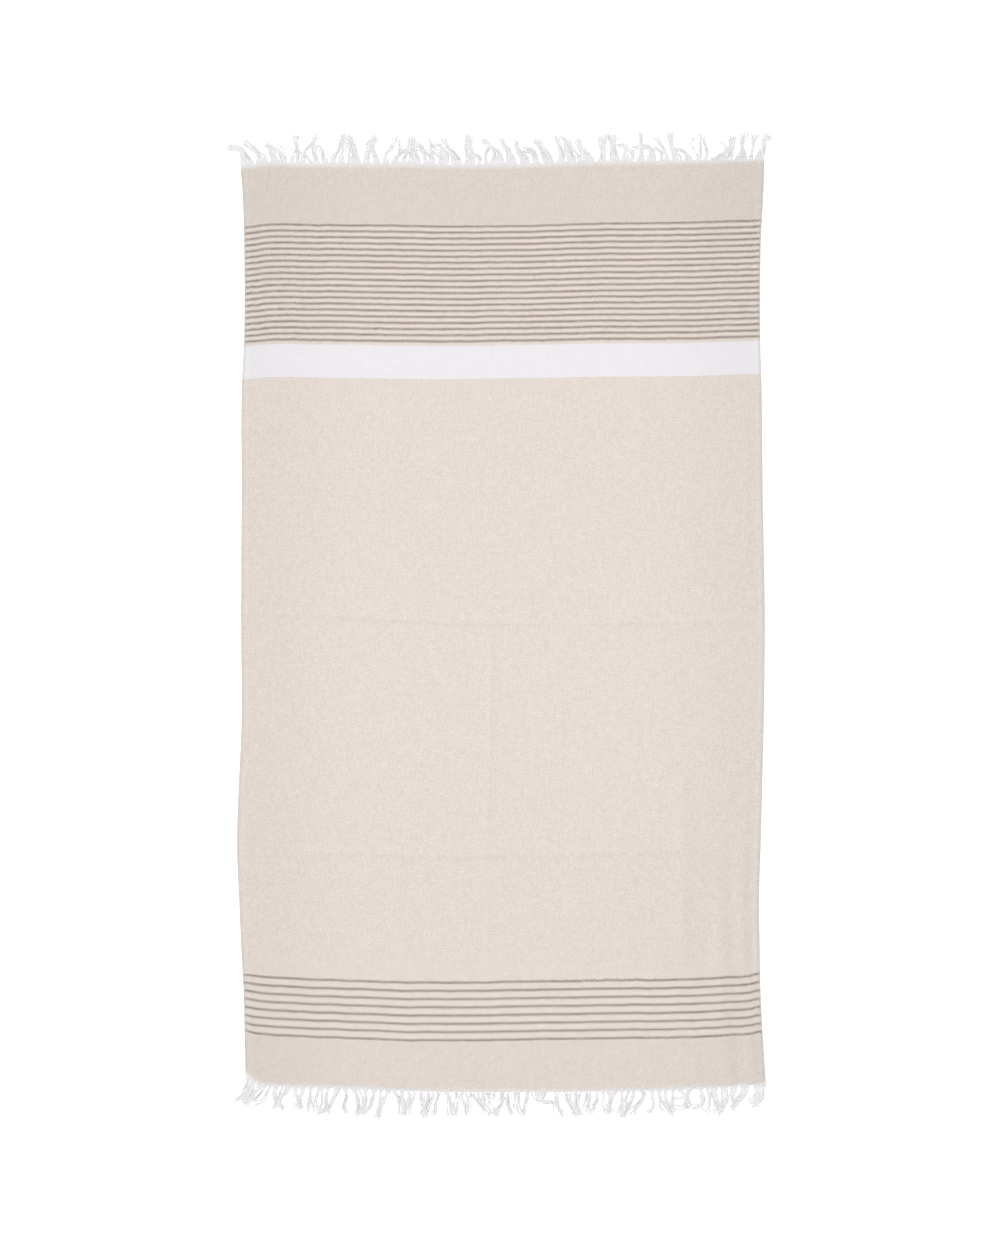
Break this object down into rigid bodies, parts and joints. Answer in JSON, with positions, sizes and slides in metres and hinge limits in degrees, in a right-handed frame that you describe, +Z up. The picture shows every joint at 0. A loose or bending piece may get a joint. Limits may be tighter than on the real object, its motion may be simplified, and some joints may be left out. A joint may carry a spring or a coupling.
{
  "type": "hammam towel",
  "caption": "Flat-woven cotton hammam towel, beige with taupe zigzag lines and a white band near one end, laid out flat with a loose white fringe at each end.",
  "frame": {"origin": "middle of the towel's outline, on the surface that it lies on", "axes": "+X across the width, +Y along the length towards the end with the white band, +Z up out of the right side of the cloth"},
  "size_m": [1.0418, 1.9002, 0.0054],
  "materials": {
    "woven_cotton": "matt beige goose-eye twill with thin taupe zigzag lines and one plain white band",
    "fringe_cotton": "matt undyed white cotton yarn"
  },
  "bodies": {
    "root": {"towel_cloth": "woven_cotton", "fringe_head": "fringe_cotton", "fringe_foot": "fringe_cotton"}
  },
  "joints": []
}
